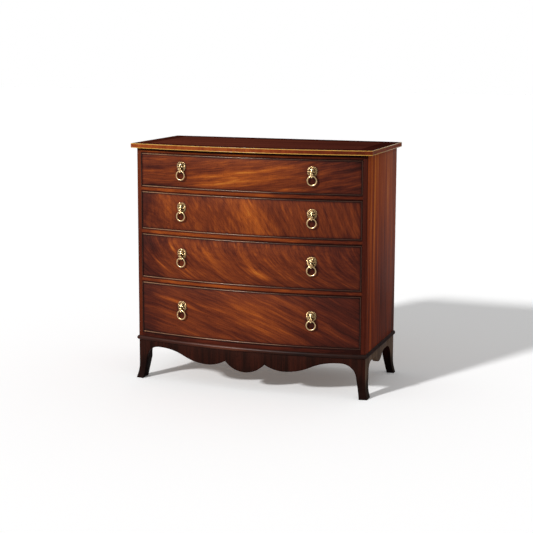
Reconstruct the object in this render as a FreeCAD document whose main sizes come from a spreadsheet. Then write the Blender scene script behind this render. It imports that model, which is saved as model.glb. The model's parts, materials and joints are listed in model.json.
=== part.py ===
import FreeCAD, Part
import Sketcher
import math
import os

# Bow front chest of four drawers.
# Origin on the floor under the middle of the chest, +Z up, +X to the right, front towards -Y.
doc = FreeCAD.newDocument("bow_front_chest")
sheet = doc.addObject("Spreadsheet::Sheet", "size")

# Driving dimensions in millimetres.
DIMENSIONS = {
    # Carcass
    "carcass_width": 950,
    "side_depth": 442,
    "bow_depth": 51,
    "side_thickness": 18,
    "back_thickness": 8,
    "back_rabbet": 9,
    "base_height": 158,
    "bottom_rail_height": 36,
    "rail_height": 20,
    "top_rail_height": 19,
    "rail_depth": 46,
    "housing_depth": 6,
    "housing_setback": 12,
    "runner_width": 40,
    "dust_board_thickness": 6,
    "dust_groove": 6,
    # Clear height of the four drawer openings, from the top down
    "opening_first": 133,
    "opening_second": 150,
    "opening_third": 176,
    "opening_fourth": 206,
    # Top
    "top_thickness": 18,
    "top_overhang": 20,
    "stringing_size": 2.5,
    # Base moulding and aprons
    "moulding_height": 18,
    "moulding_projection": 7,
    "apron_inset": 0.5,
    "apron_thickness": 18,
    "arch_spacing": 730,
    "dip_spacing": 324,
    "cusp_spacing": 163,
    # Height of the aprons at places along their lower edge, down from the carcass
    "arch_height": 21,
    "dip_height": 67,
    "cusp_height": 45,
    "lobe_height": 83,
    "side_arch_height": 25,
    "side_drop_height": 57,
    # Splayed feet
    "foot_wing": 93.5,
    "foot_side_wing": 86,
    "rear_foot_wing": 112,
    "side_level": 37,
    "ankle_height": 80,
    "side_ankle_height": 98,
    "ankle_width": 34,
    "ankle_depth": 50,
    "rear_ankle_depth": 46,
    "toe_width": 31.5,
    "toe_depth": 48,
    "rear_toe_depth": 26,
    "toe_flare": 11,
    "flare_height": 60,
    "skirt_height": 60,
    "skirt_thickness": 20,
    "block_length": 70,
    "block_size": 25,
    "block_spacing": 220,
    # Drawers
    "drawer_seat_gap": 0.4,
    "drawer_top_gap": 1.4,
    "drawer_side_gap": 1.0,
    "front_thickness": 22,
    "bead_width": 3.2,
    "bead_depth": 6,
    "bead_projection": 2.5,
    "lining_thickness": 10,
    "side_drop": 5,
    "back_drop": 13,
    "rear_clearance": 20,
    "bottom_thickness": 6,
    "bottom_rise": 9,
    "side_groove": 4,
    "front_groove": 5,
    "dovetail_lap": 9.5,
    "dovetail_slope": 7,
    "pin_width": 8,
    "stop_spacing": 400,
    "stop_length": 40,
    "stop_depth": 16,
    "stop_height": 6,
    "stop_gap": 0.3,
    # Lion mask ring pulls
    "pull_spacing": 536,
    "pull_rise": 21,
    "face_radius": 15.5,
    "face_depth": 8,
    "mane_radius": 16.5,
    "mane_lobe": 4.2,
    "brow_width": 19,
    "brow_height": 9,
    "brow_depth": 9.5,
    "brow_rise": 6,
    "nose_width": 7,
    "nose_height": 17,
    "nose_depth": 13,
    "nose_drop": 4,
    "muzzle_width": 14,
    "muzzle_height": 21,
    "muzzle_depth": 18.5,
    "muzzle_drop": 15,
    "ring_radius": 17.6,
    "ring_wire": 2.1,
    "ring_clearance": 0.35,
    "pivot_drop": 17.4,
    "pivot_standoff": 10,
    "stud_radius": 2.5,
    "stud_clearance": 0.25,
    "nut_radius": 5.5,
    "nut_thickness": 4,
    "nut_clearance": 0.1,
    "stud_tail": 3,
}
for row, (alias, number) in enumerate(DIMENSIONS.items(), start=1):
    sheet.set(f"A{row}", alias)
    sheet.set(f"B{row}", str(number))
    sheet.setAlias(f"B{row}", alias)
doc.recompute()

MANE_LOBES = 16
HEX_SIDES = 6
FULL_TURN = 360
# Flats that make up a round nose along the bow.
BEAD_FLATS = 6
MOULDING_FLATS = 8
# Drawers by number, from the top down: alias of the opening's height.
DRAWERS = dict(enumerate(("opening_first", "opening_second", "opening_third", "opening_fourth"), start=1))
# Dovetails of each drawer's sides: at the front and at the back.
TAIL_COUNTS = {1: (3, 2), 2: (3, 2), 3: (4, 3), 4: (4, 3)}
LEFT_TURN = 1
RIGHT_TURN = -1

sub_parts = []


# Every size below is an expression on the sheet. Objects are bound to it, and value gives it as a number.
def value(expression):
    result = sheet.evalExpression(str(expression))
    return float(getattr(result, "Value", result))


def minus(expression):
    return f"-({expression})"


def sub_part(item):
    sub_parts.append(item)
    return item


def bind(item, expressions):
    for name, expression in expressions.items():
        item.setExpression(name, str(expression))


def draw(sketch, corners):
    # A corner is (u, v), or (u, v, radius, turn) where an arc, turning left or right, leads to the next.
    points = [FreeCAD.Vector(value(corner[0]), value(corner[1]), 0) for corner in corners]
    up = FreeCAD.Vector(0, 0, 1)
    starts = []
    ends = []
    for index, corner in enumerate(corners):
        first = points[index]
        last = points[(index + 1) % len(points)]
        if len(corner) == 2:
            sketch.addGeometry(Part.LineSegment(first, last))
            starts.append(1)
            ends.append(2)
            continue
        radius = value(corner[2])
        turn = corner[3]
        chord = last - first
        left = FreeCAD.Vector(-chord.y, chord.x, 0).normalize()
        rise = math.sqrt(max(radius ** 2 - (chord.Length / 2) ** 2, 0))
        centre = first + chord * 0.5 + left * (turn * rise)
        angles = [math.atan2(point.y - centre.y, point.x - centre.x) for point in (first, last)]
        if turn == RIGHT_TURN:
            angles.reverse()
        sketch.addGeometry(Part.ArcOfCircle(Part.Circle(centre, up, radius), angles[0], angles[1]))
        starts.append(1 if turn == LEFT_TURN else 2)
        ends.append(2 if turn == LEFT_TURN else 1)
    for index, corner in enumerate(corners):
        following = (index + 1) % len(corners)
        sketch.addConstraint(Sketcher.Constraint(
            "Coincident", index, ends[index], following, starts[following],
        ))
        for kind, place, expression in (
            ("DistanceX", points[index].x, corner[0]),
            ("DistanceY", points[index].y, corner[1]),
        ):
            rule = sketch.addConstraint(Sketcher.Constraint(kind, -1, 1, index, starts[index], place))
            sketch.setExpression(f"Constraints[{rule}]", str(expression))
        if len(corner) > 2:
            rule = sketch.addConstraint(Sketcher.Constraint("Radius", index, value(corner[2])))
            sketch.setExpression(f"Constraints[{rule}]", str(corner[2]))


def new_sketch(body, role, offset):
    sketch = body.newObject("Sketcher::SketchObject", body.Name + "_sketch")
    plane = next(feature for feature in body.Origin.OriginFeatures if feature.Role == role)
    sketch.AttachmentSupport = [(plane, "")]
    sketch.MapMode = "FlatFace"
    sketch.setExpression("AttachmentOffset.Base.z", str(offset))
    return sketch


def prism(label, role, corners, start, length):
    # An outline on an origin plane, from start along the axis that crosses the plane.
    body = doc.addObject("PartDesign::Body", label)
    body.Label = label
    offset = minus(f"({start}) + ({length})") if role == "XZ_Plane" else start
    sketch = new_sketch(body, role, offset)
    draw(sketch, corners)
    pad = body.newObject("PartDesign::Pad", label + "_pad")
    pad.Profile = sketch
    pad.setExpression("Length", str(length))
    return body


def turned(label, corners, angle):
    # A section given as (radius, height), turned about the upright axis of the bow.
    body = doc.addObject("PartDesign::Body", label)
    body.Label = label
    sketch = new_sketch(body, "YZ_Plane", "0")
    draw(sketch, [(minus(c[0]), c[1]) + tuple(c[2:3]) + tuple(-turn for turn in c[3:]) for c in corners])
    revolution = body.newObject("PartDesign::Revolution", label + "_turn")
    revolution.Profile = sketch
    revolution.ReferenceAxis = (sketch, ["V_Axis"])
    revolution.Midplane = True
    revolution.setExpression("Angle", str(angle))
    body.setExpression("Placement.Base.y", bow_centre)
    return body


def rod(label, radius, start, length):
    # A round bar along Y.
    body = doc.addObject("PartDesign::Body", label)
    body.Label = label
    sketch = new_sketch(body, "XZ_Plane", minus(f"({start}) + ({length})"))
    sketch.addGeometry(Part.Circle(FreeCAD.Vector(), FreeCAD.Vector(0, 0, 1), value(radius)))
    sketch.addConstraint(Sketcher.Constraint("Coincident", 0, 3, -1, 1))
    rule = sketch.addConstraint(Sketcher.Constraint("Radius", 0, value(radius)))
    sketch.setExpression(f"Constraints[{rule}]", str(radius))
    pad = body.newObject("PartDesign::Pad", label + "_pad")
    pad.Profile = sketch
    pad.setExpression("Length", str(length))
    return body


def box(label, x_start, y_start, z_start, x_length, y_length, z_length):
    item = doc.addObject("Part::Box", label)
    item.Label = label
    bind(item, {
        "Length": x_length,
        "Width": y_length,
        "Height": z_length,
        "Placement.Base.x": x_start,
        "Placement.Base.y": y_start,
        "Placement.Base.z": z_start,
    })
    return item


def ellipsoid(label, y_place, z_place, width, depth, height):
    item = doc.addObject("Part::Ellipsoid", label)
    item.Label = label
    item.Angle1 = -90
    item.Angle2 = 90
    bind(item, {
        "Radius1": f"({height}) / 2",
        "Radius2": f"({width}) / 2",
        "Radius3": f"({depth}) / 2",
        "Placement.Base.y": y_place,
        "Placement.Base.z": z_place,
    })
    return item


def group(label, *items):
    compound = doc.addObject("Part::Compound", label)
    compound.Label = label
    compound.Links = list(items)
    return compound


def common(label, *items):
    result = doc.addObject("Part::MultiCommon", label)
    result.Label = label
    result.Shapes = list(items)
    return result


def fuse(label, *items):
    result = doc.addObject("Part::MultiFuse", label)
    result.Label = label
    result.Shapes = list(items)
    return result


def cut(label, base, *tools):
    result = doc.addObject("Part::Cut", label)
    result.Label = label
    result.Base = base
    result.Tool = tools[0] if len(tools) == 1 else group(label + "_tools", *tools)
    return result


def mirrored(label, source):
    item = doc.addObject("Part::Mirroring", label)
    item.Label = label
    item.Source = source
    item.Normal = FreeCAD.Vector(1, 0, 0)
    return item


def round_nose(radius, spread, flats):
    # Offsets (outwards, upwards) of the corners of a nose, from spread below its middle to spread above.
    offsets = []
    for flat in range(flats + 1):
        angle = f"(({spread}) * {2 * flat / flats - 1})"
        offsets.append((f"({radius}) * cos({angle})", f"({radius}) * sin({angle})"))
    return offsets


# The plan of the bow: an arc through the front corners of the carcass.
half_width = "(size.carcass_width / 2)"
case_half = f"({half_width} - size.side_thickness)"
back_y = "((size.side_depth + size.bow_depth + size.top_overhang) / 2)"
corner_y = f"({back_y} - size.side_depth)"
apex_y = f"({corner_y} - size.bow_depth)"
back_inner = f"({back_y} - size.back_thickness)"
bow_radius = f"(({half_width}^2 + size.bow_depth^2) / (2 * size.bow_depth))"
bow_centre = f"({apex_y} + {bow_radius})"
rail_back = f"({corner_y} + size.rail_depth)"
housing_front = f"({corner_y} + size.housing_setback)"


def bow_y(radius, x):
    return f"({bow_centre} - sqrt(({radius})^2 - ({x})^2))"


def bowed(label, left, right, outer, inner, bottom, height):
    # A board between two arcs of the bow.
    return prism(label, "XY_Plane", [
        (left, bow_y(outer, left), outer, LEFT_TURN),
        (right, bow_y(outer, right)),
        (right, bow_y(inner, right), inner, RIGHT_TURN),
        (left, bow_y(inner, left)),
    ], bottom, height)


# Heights of the openings, from the floor up.
openings = {}
level = "(size.base_height + size.bottom_rail_height)"
for number, opening in reversed(DRAWERS.items()):
    openings[number] = level
    level = f"({level} + size.{opening} + size.rail_height)"
top_rail_bottom = f"({openings[1]} + size.opening_first)"
carcass_top = f"({top_rail_bottom} + size.top_rail_height)"
carcass_height = f"({carcass_top} - size.base_height)"


# Top board, with its cross-grained edge band between two lines of stringing.
top_half = f"({half_width} + size.top_overhang)"
top_radius = f"({bow_radius} + size.top_overhang)"
core_half = f"({top_half} - size.stringing_size)"
core_radius = f"({top_radius} - size.stringing_size)"


def edge_strip(label, bottom, height):
    return prism(label, "XY_Plane", [
        (top_half, back_y),
        (top_half, bow_y(top_radius, top_half), top_radius, RIGHT_TURN),
        (minus(top_half), bow_y(top_radius, top_half)),
        (minus(top_half), back_y),
        (minus(core_half), back_y),
        (minus(core_half), bow_y(core_radius, core_half), core_radius, LEFT_TURN),
        (core_half, bow_y(core_radius, core_half)),
        (core_half, back_y),
    ], bottom, height)


sub_part(prism("top_board", "XY_Plane", [
    (minus(core_half), bow_y(core_radius, core_half), core_radius, LEFT_TURN),
    (core_half, bow_y(core_radius, core_half)),
    (core_half, back_y),
    (minus(core_half), back_y),
], carcass_top, "size.top_thickness"))
band_height = "(size.top_thickness - 2 * size.stringing_size)"
sub_part(edge_strip("top_edge_band", f"{carcass_top} + size.stringing_size", band_height))
sub_part(group(
    "top_stringing",
    edge_strip("lower_stringing", carcass_top, "size.stringing_size"),
    edge_strip(
        "upper_stringing", f"{carcass_top} + size.stringing_size + {band_height}", "size.stringing_size",
    ),
))

# Levels of the case: name, bottom and height of its runners, bottom and height of its front rail.
levels = [("top", top_rail_bottom, "size.top_rail_height", top_rail_bottom, "size.top_rail_height")]
for number in (1, 2, 3):
    divider = f"({openings[number]} - size.rail_height)"
    levels.append((f"divider_{number}", divider, "size.rail_height", divider, "size.rail_height"))
lowest = f"({openings[4]} - size.rail_height)"
levels.append(("bottom", lowest, "size.rail_height", "size.base_height", "size.bottom_rail_height"))

# Sides, housed on the inside for the rails and runners and rabbeted for the back.
housings = []
for name, runner_bottom, runner_height, rail_bottom, rail_height in levels:
    housings.append(box(
        f"{name}_rail_housing", case_half, housing_front, rail_bottom,
        "size.housing_depth", f"{rail_back} - {housing_front}", rail_height,
    ))
    housings.append(box(
        f"{name}_runner_housing", case_half, rail_back, runner_bottom,
        "size.housing_depth", f"{back_inner} - {rail_back}", runner_height,
    ))
rabbet_x = f"({case_half} + size.back_rabbet)"
side_board = prism("side_board", "XY_Plane", [
    (case_half, bow_y(bow_radius, case_half), bow_radius, LEFT_TURN),
    (half_width, corner_y),
    (half_width, back_y),
    (rabbet_x, back_y),
    (rabbet_x, back_inner),
    (case_half, back_inner),
], "size.base_height", carcass_height)
side_right = sub_part(cut("side_right", side_board, *housings))
sub_part(mirrored("side_left", side_right))
sub_part(box(
    "back_panel", minus(rabbet_x), back_inner, "size.base_height",
    f"2 * {rabbet_x}", "size.back_thickness", carcass_height,
))

# Rails across the front, runners behind them and dust boards held in both.
housed_half = f"({case_half} + size.housing_depth)"
runner_inner = f"({housed_half} - size.runner_width)"
board_half = f"({runner_inner} + size.dust_groove)"
runners = []
dust_boards = []
for name, runner_bottom, runner_height, rail_bottom, rail_height in levels:
    rail = prism(f"{name}_rail_blank", "XY_Plane", [
        (minus(case_half), bow_y(bow_radius, case_half), bow_radius, LEFT_TURN),
        (case_half, bow_y(bow_radius, case_half)),
        (case_half, housing_front),
        (housed_half, housing_front),
        (housed_half, rail_back),
        (minus(housed_half), rail_back),
        (minus(housed_half), housing_front),
        (minus(case_half), housing_front),
    ], rail_bottom, rail_height)
    if name == "top":
        rail.Label = "top_rail_front"
        sub_part(rail)
        kicker_end = f"({back_inner} - size.rail_depth)"
        runner = box(
            "kicker_right", runner_inner, rail_back, runner_bottom,
            "size.runner_width", f"{kicker_end} - {rail_back}", runner_height,
        )
        sub_part(box(
            "top_rail_back", minus(housed_half), kicker_end, rail_bottom,
            f"2 * {housed_half}", "size.rail_depth", rail_height,
        ))
    else:
        dust_board = box(
            f"{name}_dust_board", minus(board_half), f"{rail_back} - size.dust_groove",
            f"{runner_bottom} + (size.rail_height - size.dust_board_thickness) / 2",
            f"2 * {board_half}", f"{back_inner} - {rail_back} + size.dust_groove",
            "size.dust_board_thickness",
        )
        dust_boards.append(dust_board)
        sub_part(cut(f"{name}_rail", rail, dust_board))
        blank = box(
            f"{name}_runner_blank", runner_inner, rail_back, runner_bottom,
            "size.runner_width", f"{back_inner} - {rail_back}", runner_height,
        )
        runner = cut(f"{name}_runner_right", blank, dust_board)
    runners.append(runner)
    runners.append(mirrored(f"{name}_runner_left", runner))
sub_part(group("drawer_runners", *runners))
sub_part(group("dust_boards", *dust_boards))

# Base moulding: a half round in three lengths, mitred at the front corners.
moulding_middle = "(size.base_height + size.moulding_height / 2)"
half_moulding = "(size.moulding_height / 2)"
moulding_radius = (
    f"(({half_moulding}^2 + size.moulding_projection^2) / (2 * size.moulding_projection))"
)
moulding_nose = []
for out, up in round_nose(moulding_radius, f"asin({half_moulding} / {moulding_radius})", MOULDING_FLATS):
    moulding_nose.append((
        f"(size.moulding_projection - {moulding_radius} + {out})", f"({moulding_middle} + {up})",
    ))
corner_sine = f"({half_width} / {bow_radius})"
corner_cosine = f"(({bow_radius} - size.bow_depth) / {bow_radius})"
mitre_reach = "(3 * size.moulding_projection)"
mitre_out_x = f"({half_width} + {mitre_reach} * (1 + {corner_sine}))"
mitre_out_y = f"({corner_y} - {mitre_reach} * {corner_cosine})"
mitre_in_x = f"({half_width} - {mitre_reach} * (1 + {corner_sine}))"
mitre_in_y = f"({corner_y} + {mitre_reach} * {corner_cosine})"
front_limit = f"({apex_y} - {mitre_reach})"
front_length = turned(
    "front_moulding_length",
    [(f"{bow_radius} + {out}", up) for out, up in moulding_nose],
    f"2 * asin({mitre_out_x} / {bow_radius})",
)
front_mitres = prism("front_mitres", "XY_Plane", [
    (minus(mitre_in_x), mitre_in_y),
    (minus(mitre_out_x), mitre_out_y),
    (minus(mitre_out_x), front_limit),
    (mitre_out_x, front_limit),
    (mitre_out_x, mitre_out_y),
    (mitre_in_x, mitre_in_y),
], "size.base_height", "size.moulding_height")
side_length = prism(
    "side_moulding_length", "XZ_Plane",
    [(f"{half_width} + {out}", up) for out, up in moulding_nose],
    mitre_out_y, f"{back_y} - {mitre_out_y}",
)
side_mitre = prism("side_mitre", "XY_Plane", [
    (mitre_in_x, mitre_in_y),
    (mitre_out_x, mitre_out_y),
    (mitre_out_x, back_y),
    (mitre_in_x, back_y),
], "size.base_height", "size.moulding_height")
side_moulding = common("side_moulding", side_length, side_mitre)
sub_part(group(
    "base_moulding",
    common("front_moulding", front_length, front_mitres),
    side_moulding,
    mirrored("side_moulding_left", side_moulding),
))

# Shaped front apron: arches beside the feet, a dip, a cusp and a round lobe in the middle.
base_face = f"({half_width} - size.apron_inset)"
base_radius = f"({bow_radius} - size.apron_inset)"
apron_back_radius = f"({base_radius} - size.apron_thickness)"
apron_end = f"({base_face} - size.foot_wing)"
arch_level = "(size.base_height - size.arch_height)"
dip_level = "(size.base_height - size.dip_height)"
cusp_level = "(size.base_height - size.cusp_height)"
lobe_level = "(size.base_height - size.lobe_height)"
side_arch_level = "(size.base_height - size.side_arch_height)"
side_drop_level = "(size.base_height - size.side_drop_height)"
arch_x = "(size.arch_spacing / 2)"
dip_x = "(size.dip_spacing / 2)"
cusp_x = "(size.cusp_spacing / 2)"
sway_x = f"(({arch_x} + {dip_x}) / 2)"
sway_level = f"(({arch_level} + {dip_level}) / 2)"


def sagitta_radius(half_chord, sagitta):
    return f"((({half_chord})^2 + ({sagitta})^2) / (2 * ({sagitta})))"


sway_radius = sagitta_radius(f"({arch_x} - {dip_x}) / 2", f"({arch_level} - {dip_level}) / 2")
cusp_radius = sagitta_radius(f"{dip_x} - {cusp_x}", f"{cusp_level} - {dip_level}")
lobe_radius = sagitta_radius(cusp_x, f"{cusp_level} - {lobe_level}")
through_front = f"({apex_y} - size.toe_flare)"
through_depth = "(size.bow_depth + size.foot_side_wing + 2 * size.toe_flare)"
apron_outline = prism("apron_outline", "XZ_Plane", [
    (minus(apron_end), arch_level),
    (minus(arch_x), arch_level, sway_radius, RIGHT_TURN),
    (minus(sway_x), sway_level, sway_radius, LEFT_TURN),
    (minus(dip_x), dip_level, cusp_radius, LEFT_TURN),
    (minus(cusp_x), cusp_level, lobe_radius, LEFT_TURN),
    (cusp_x, cusp_level, cusp_radius, LEFT_TURN),
    (dip_x, dip_level, sway_radius, LEFT_TURN),
    (sway_x, sway_level, sway_radius, RIGHT_TURN),
    (arch_x, arch_level),
    (apron_end, arch_level),
    (apron_end, "size.base_height"),
    (minus(apron_end), "size.base_height"),
], through_front, through_depth)
apron_board = bowed(
    "apron_board", minus(apron_end), apron_end, base_radius, apron_back_radius, "0", "size.base_height",
)
sub_part(common("apron_front", apron_board, apron_outline))

# Splayed feet: every outer face kicks out to the toe on an arc, and the inner faces taper to it.
flare_radius = sagitta_radius("size.flare_height", "size.toe_flare")
toe_x = f"({base_face} + size.toe_flare)"
ankle_x = f"({base_face} - size.ankle_width)"
foot_corner_y = bow_y(base_radius, base_face)
side_flare = prism("side_flare", "XZ_Plane", [
    (apron_end, "0"),
    (toe_x, "0", flare_radius, RIGHT_TURN),
    (base_face, "size.flare_height"),
    (base_face, "size.base_height"),
    (apron_end, "size.base_height"),
], through_front, f"{back_y} - {through_front}")
leg_taper = prism("leg_taper", "XZ_Plane", [
    (f"{toe_x} - size.toe_width", "0"),
    (toe_x, "0", flare_radius, RIGHT_TURN),
    (base_face, "size.flare_height"),
    (base_face, "size.base_height"),
    (ankle_x, "size.base_height"),
    (ankle_x, "size.ankle_height"),
], through_front, f"{back_y} - {through_front}")
foot_angle = f"2 * asin(({toe_x} + size.toe_flare) / {base_radius})"


def front_flare(label, thickness):
    return turned(label, [
        (f"{base_radius} - {thickness}", "0"),
        (f"{base_radius} + size.toe_flare", "0", flare_radius, RIGHT_TURN),
        (base_radius, "size.flare_height"),
        (base_radius, "size.base_height"),
        (f"{base_radius} - {thickness}", "size.base_height"),
    ], foot_angle)


def sweep_radius(wing, ankle, arch, height):
    return sagitta_radius(f"{wing} - {ankle}", f"{arch} - {height}")


front_leg_outline = prism("front_leg_outline", "XZ_Plane", [
    (f"{toe_x} - size.toe_width", "0"),
    (toe_x, "0"),
    (toe_x, "size.base_height"),
    (apron_end, "size.base_height"),
    (
        apron_end, arch_level,
        sweep_radius("size.foot_wing", "size.ankle_width", arch_level, "size.ankle_height"), RIGHT_TURN,
    ),
    (ankle_x, "size.ankle_height"),
], through_front, through_depth)
front_leg = common(
    "front_leg", front_leg_outline, side_flare, front_flare("front_leg_flare", "size.apron_thickness"),
)
foot_top = f"{toe_x} - {ankle_x}"
side_leg_outline = prism("side_leg_outline", "YZ_Plane", [
    (through_front, "0"),
    (f"{foot_corner_y} - size.toe_flare + size.toe_depth", "0"),
    (f"{foot_corner_y} + size.ankle_depth", "size.ankle_height"),
    (
        f"{foot_corner_y} + size.ankle_depth", "size.side_ankle_height",
        sweep_radius("size.foot_side_wing", "size.ankle_depth", side_arch_level, "size.side_ankle_height"),
        RIGHT_TURN,
    ),
    (f"{foot_corner_y} + size.foot_side_wing", side_arch_level),
    (f"{foot_corner_y} + size.foot_side_wing", "size.base_height"),
    (through_front, "size.base_height"),
], ankle_x, foot_top)
side_leg = common(
    "side_leg", side_leg_outline, leg_taper, front_flare("side_leg_flare", "size.side_depth / 2"),
)
foot_front_right = sub_part(fuse("foot_front_right", front_leg, side_leg))
sub_part(mirrored("foot_front_left", foot_front_right))
rear_leg_outline = prism("rear_leg_outline", "YZ_Plane", [
    (back_y, "0"),
    (back_y, "size.base_height"),
    (f"{back_y} - size.rear_foot_wing", "size.base_height"),
    (
        f"{back_y} - size.rear_foot_wing", side_arch_level,
        sweep_radius("size.rear_foot_wing", "size.rear_ankle_depth", side_arch_level, "size.ankle_height"),
        RIGHT_TURN,
    ),
    (f"{back_y} - size.rear_ankle_depth", "size.ankle_height"),
    (f"{back_y} - size.rear_toe_depth", "0"),
], ankle_x, foot_top)
foot_rear_right = sub_part(common("foot_rear_right", rear_leg_outline, leg_taper))
sub_part(mirrored("foot_rear_left", foot_rear_right))

# Side aprons, each with an arch beside either foot and a drop between.
side_start = f"({foot_corner_y} + size.foot_side_wing)"
side_end = f"({back_y} - size.rear_foot_wing)"
side_middle = f"(({side_start} + {side_end}) / 2)"
side_sway_level = f"(({side_arch_level} + {side_drop_level}) / 2)"
drop_start = f"({side_start} + size.side_level)"
drop_end = f"({side_end} - size.side_level)"
side_sway_radius = sagitta_radius(
    f"({drop_end} - {drop_start}) / 4", f"({side_arch_level} - {side_drop_level}) / 2",
)
side_apron = prism("side_apron", "YZ_Plane", [
    (side_start, side_arch_level),
    (drop_start, side_arch_level, side_sway_radius, RIGHT_TURN),
    (f"({drop_start} + {side_middle}) / 2", side_sway_level, side_sway_radius, LEFT_TURN),
    (side_middle, side_drop_level, side_sway_radius, LEFT_TURN),
    (f"({side_middle} + {drop_end}) / 2", side_sway_level, side_sway_radius, RIGHT_TURN),
    (drop_end, side_arch_level),
    (side_end, side_arch_level),
    (side_end, "size.base_height"),
    (side_start, "size.base_height"),
], f"{base_face} - size.apron_thickness", "size.apron_thickness")
sub_part(group("side_aprons", side_apron, mirrored("side_apron_left", side_apron)))
sub_part(box(
    "back_skirt", minus(ankle_x), f"{back_y} - size.skirt_thickness", "size.base_height - size.skirt_height",
    f"2 * {ankle_x}", "size.skirt_thickness", "size.skirt_height",
))

# Glue blocks behind the aprons, close under the carcass.
block_bottom = "(size.base_height - size.block_size)"
block_inner_radius = f"({apron_back_radius} - size.block_size)"
glue_blocks = []
for place in (-1, 0, 1):
    block_middle = f"({place} * size.block_spacing)"
    glue_blocks.append(bowed(
        f"front_glue_block_{place + 1}",
        f"{block_middle} - size.block_length / 2", f"{block_middle} + size.block_length / 2",
        apron_back_radius, block_inner_radius, block_bottom, "size.block_size",
    ))
side_block = box(
    "side_glue_block", f"{base_face} - size.apron_thickness - size.block_size",
    f"{side_middle} - size.block_length / 2", block_bottom,
    "size.block_size", "size.block_length", "size.block_size",
)
glue_blocks.append(side_block)
glue_blocks.append(mirrored("side_glue_block_left", side_block))
sub_part(group("glue_blocks", *glue_blocks))

# One pull, drawn about the middle of its mask: the front's face at y = 0, outwards towards -Y.
ring_y = minus("size.pivot_standoff")
bore_radius = (
    "(size.ring_wire + size.ring_clearance + size.ring_radius"
    " - sqrt(size.ring_radius^2 - size.muzzle_width^2 / 4))"
)
mask_pieces = [
    ellipsoid("face", "0", "0", "2 * size.face_radius", "2 * size.face_depth", "2 * size.face_radius"),
    ellipsoid("brow", minus("size.brow_depth / 2"), "size.brow_rise",
              "size.brow_width", "size.brow_depth", "size.brow_height"),
    ellipsoid("nose", minus("size.nose_depth / 2"), minus("size.nose_drop"),
              "size.nose_width", "size.nose_depth", "size.nose_height"),
    ellipsoid("muzzle", minus("size.muzzle_depth / 2"), minus("size.muzzle_drop"),
              "size.muzzle_width", "size.muzzle_depth", "size.muzzle_height"),
]
for lobe in range(MANE_LOBES):
    lock = doc.addObject("Part::Sphere", f"mane_lock_{lobe}")
    lock_angle = FULL_TURN * lobe / MANE_LOBES
    bind(lock, {
        "Radius": "size.mane_lobe",
        "Placement.Base.x": f"size.mane_radius * sin({lock_angle} deg)",
        "Placement.Base.z": f"size.mane_radius * cos({lock_angle} deg)",
    })
    mask_pieces.append(lock)
mask_reach = "(size.mane_radius + size.mane_lobe + size.muzzle_height)"
behind_mask = box(
    "behind_mask", minus(mask_reach), "0", minus(mask_reach),
    f"2 * {mask_reach}", mask_reach, f"2 * {mask_reach}",
)
bore = doc.addObject("Part::Cylinder", "ring_bore")
bore.Placement.Rotation = FreeCAD.Rotation(FreeCAD.Vector(0, 1, 0), 90)
bind(bore, {
    "Radius": bore_radius,
    "Height": "2 * size.muzzle_width",
    "Placement.Base.x": minus("size.muzzle_width"),
    "Placement.Base.y": ring_y,
    "Placement.Base.z": minus("size.pivot_drop"),
})
casting = cut("mask_casting", fuse("mask_relief", *mask_pieces), behind_mask, bore)
stud_length = "(size.front_thickness + size.nut_thickness + size.stud_tail)"
stud = rod("pull_stud", "size.stud_radius", minus("size.stud_tail"), f"{stud_length} + size.stud_tail")
mask = fuse("mask", casting, stud)
stud_hole = rod(
    "stud_hole", "size.stud_radius + size.stud_clearance", minus("size.stud_tail"),
    "size.front_thickness + 2 * size.stud_tail",
)
nut_start = "(size.front_thickness + size.nut_clearance)"
nut_corners = []
for corner in range(HEX_SIDES):
    corner_angle = FULL_TURN * corner / HEX_SIDES
    nut_corners.append((
        f"size.nut_radius * cos({corner_angle} deg)", f"size.nut_radius * sin({corner_angle} deg)",
    ))
nut = cut(
    "nut",
    prism("nut_blank", "XZ_Plane", nut_corners, nut_start, "size.nut_thickness"),
    rod(
        "nut_bore", "size.stud_radius + size.nut_clearance",
        "size.front_thickness", "2 * size.nut_thickness",
    ),
)
ring = doc.addObject("PartDesign::Body", "ring")
ring_sketch = new_sketch(ring, "XY_Plane", minus("size.pivot_drop + size.ring_radius"))
ring_sketch.addGeometry(Part.Circle(
    FreeCAD.Vector(value("size.ring_radius"), value(ring_y), 0),
    FreeCAD.Vector(0, 0, 1),
    value("size.ring_wire"),
))
for rule_kind, rule_size in (("DistanceX", "size.ring_radius"), ("DistanceY", ring_y)):
    ring_rule = ring_sketch.addConstraint(Sketcher.Constraint(rule_kind, -1, 1, 0, 3, value(rule_size)))
    ring_sketch.setExpression(f"Constraints[{ring_rule}]", rule_size)
ring_rule = ring_sketch.addConstraint(Sketcher.Constraint("Radius", 0, value("size.ring_wire")))
ring_sketch.setExpression(f"Constraints[{ring_rule}]", "size.ring_wire")
ring_turn = ring.newObject("PartDesign::Revolution", "ring_turn")
ring_turn.Profile = ring_sketch
ring_turn.ReferenceAxis = (ring_sketch, ["V_Axis"])
ring_turn.Angle = FULL_TURN

pull_x = "(size.pull_spacing / 2)"


def pull_piece(label, master, height):
    # The master, square to the bow at the right-hand pull.
    link = doc.addObject("App::Link", label + "_link")
    link.setLink(master)
    pull_angle = f"asin({pull_x} / {bow_radius})"
    link.Placement.Rotation = FreeCAD.Rotation(FreeCAD.Vector(0, 0, 1), value(pull_angle))
    bind(link, {
        "Placement.Base.x": pull_x,
        "Placement.Base.y": bow_y(bow_radius, pull_x),
        "Placement.Base.z": height,
        "Placement.Rotation.Angle": pull_angle,
    })
    return group(label, link)


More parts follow.
